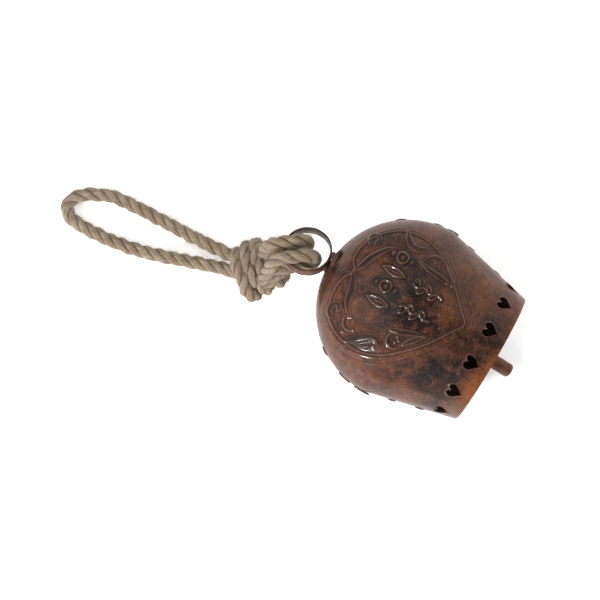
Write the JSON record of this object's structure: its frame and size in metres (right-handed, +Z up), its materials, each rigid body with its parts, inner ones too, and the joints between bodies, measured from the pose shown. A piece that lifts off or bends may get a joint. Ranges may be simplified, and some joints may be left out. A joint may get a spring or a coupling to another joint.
{
  "type": "yard dinner bell",
  "caption": "Oval sheet-metal hand bell with heart-shaped openings, a rod clapper, a flat hanging ring and a knotted rope hand loop.",
  "frame": {"origin": "centre of the bell's own box at floor level, with the bell lying on its back and the rope left out of the box", "axes": "+X along the bell's long axis from crown to mouth, +Z up out of the decorated front, +Y across the bell"},
  "size_m": [0.4006, 0.154, 0.1],
  "materials": {
    "rusty_sheet": "rust-brown oxide patina with black mottling, satin sheen",
    "weld_metal": "lumpy weld, oxidised orange-brown",
    "dark_steel": "dull grey-brown oxidised steel",
    "clapper_steel": "rusty round bar, matt",
    "jute_rope": "three-strand natural jute, hairy and dry"
  },
  "bodies": {
    "bell": {"front_shell": "rusty_sheet", "back_shell": "rusty_sheet", "seam_weld_left_1": "weld_metal", "seam_weld_left_2": "weld_metal", "seam_weld_left_3": "weld_metal", "seam_weld_left_4": "weld_metal", "seam_weld_left_5": "weld_metal", "seam_weld_right_1": "weld_metal", "seam_weld_right_2": "weld_metal", "seam_weld_right_3": "weld_metal", "seam_weld_right_4": "weld_metal", "seam_weld_right_5": "weld_metal", "hanger_ring": "dark_steel", "ring_weld_left": "weld_metal", "ring_weld_right": "weld_metal", "staple_tab": "dark_steel", "clapper_staple": "dark_steel", "staple_weld_front": "weld_metal", "staple_weld_back": "weld_metal"},
    "link": {"clapper_link": "dark_steel"},
    "clapper": {"clapper_rod": "clapper_steel"},
    "lanyard": {"rope_loop": "jute_rope", "rope_knot": "jute_rope", "rope_bight_upper": "jute_rope", "rope_bight_lower": "jute_rope"}
  },
  "joints": [
    {"name": "clapper_sweep", "type": "hinge", "parent": "bell", "child": "link", "pos_m": [-0.0528, 0.0035, 0.05], "axis": [1, 0, 0], "range_deg": [-45, 45]},
    {"name": "clapper_swing", "type": "hinge", "parent": "link", "child": "clapper", "pos_m": [-0.0348, 0.0035, 0.05], "axis": [0, -1, 0], "range_deg": [-1.2, 36]},
    {"name": "lanyard_swing", "type": "hinge", "parent": "bell", "child": "lanyard", "pos_m": [-0.10433, -0.00993, 0.047], "axis": [-0.5652, 0.75, -0.3435], "range_deg": [-50, 130]}
  ]
}
